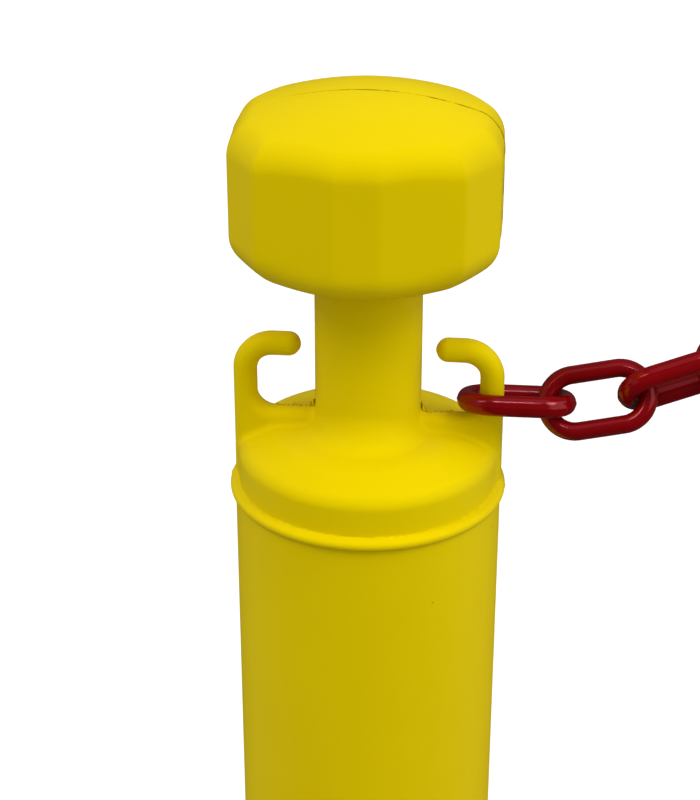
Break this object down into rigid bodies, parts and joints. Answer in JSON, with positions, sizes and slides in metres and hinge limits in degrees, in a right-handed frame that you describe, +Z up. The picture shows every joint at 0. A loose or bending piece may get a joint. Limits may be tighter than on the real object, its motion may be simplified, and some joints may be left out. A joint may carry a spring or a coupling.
{
  "type": "chain barrier bollard",
  "caption": "Upright round plastic post with a mushroom head and two chain hooks, in a heavy rubber base, with the end of a plastic chain hung on one hook.",
  "frame": {"origin": "middle of the post's foot, on the ground", "axes": "+Z up the post, +X through the hook that carries the chain, Y square to the mould's parting plane"},
  "size_m": [0.4, 0.4, 1.1],
  "materials": {
    "yellow_plastic": "satin moulded polyethylene",
    "black_rubber": "coarse recycled rubber",
    "red_plastic": "glossy moulded plastic"
  },
  "bodies": {
    "post": {"post": "yellow_plastic"},
    "rubber_base": {"rubber_base": "black_rubber"},
    "chain_link_1": {"chain_link_1": "red_plastic"},
    "chain_link_2": {"chain_link_2": "red_plastic"},
    "chain_link_3": {"chain_link_3": "red_plastic"},
    "chain_link_4": {"chain_link_4": "red_plastic"}
  },
  "joints": [
    {"name": "base_lift", "type": "slide", "parent": "post", "child": "rubber_base", "axis": [0, 0, 1], "range_m": [0, 0.75]},
    {"name": "link_1_swivel", "type": "hinge", "parent": "post", "child": "chain_link_1", "pos_m": [0.04585, 0, 0.9835], "axis": [0, 0, 1], "range_deg": [-60, 30]},
    {"name": "link_2_swing", "type": "hinge", "parent": "chain_link_1", "child": "chain_link_2", "pos_m": [0.07358, 0.00141, 0.98213], "axis": [-0.0888, -0.8677, 0.4891], "range_deg": [-42, 24]},
    {"name": "link_3_swing", "type": "hinge", "parent": "chain_link_2", "child": "chain_link_3", "pos_m": [0.10279, 0.00072, 0.98827], "axis": [-0.3171, 0.7236, 0.613], "range_deg": [-50, 26]},
    {"name": "link_4_swing", "type": "hinge", "parent": "chain_link_3", "child": "chain_link_4", "pos_m": [0.1302, 0.00633, 0.99794], "axis": [-0.109, -0.6719, 0.7326], "range_deg": [-40, 40]}
  ]
}
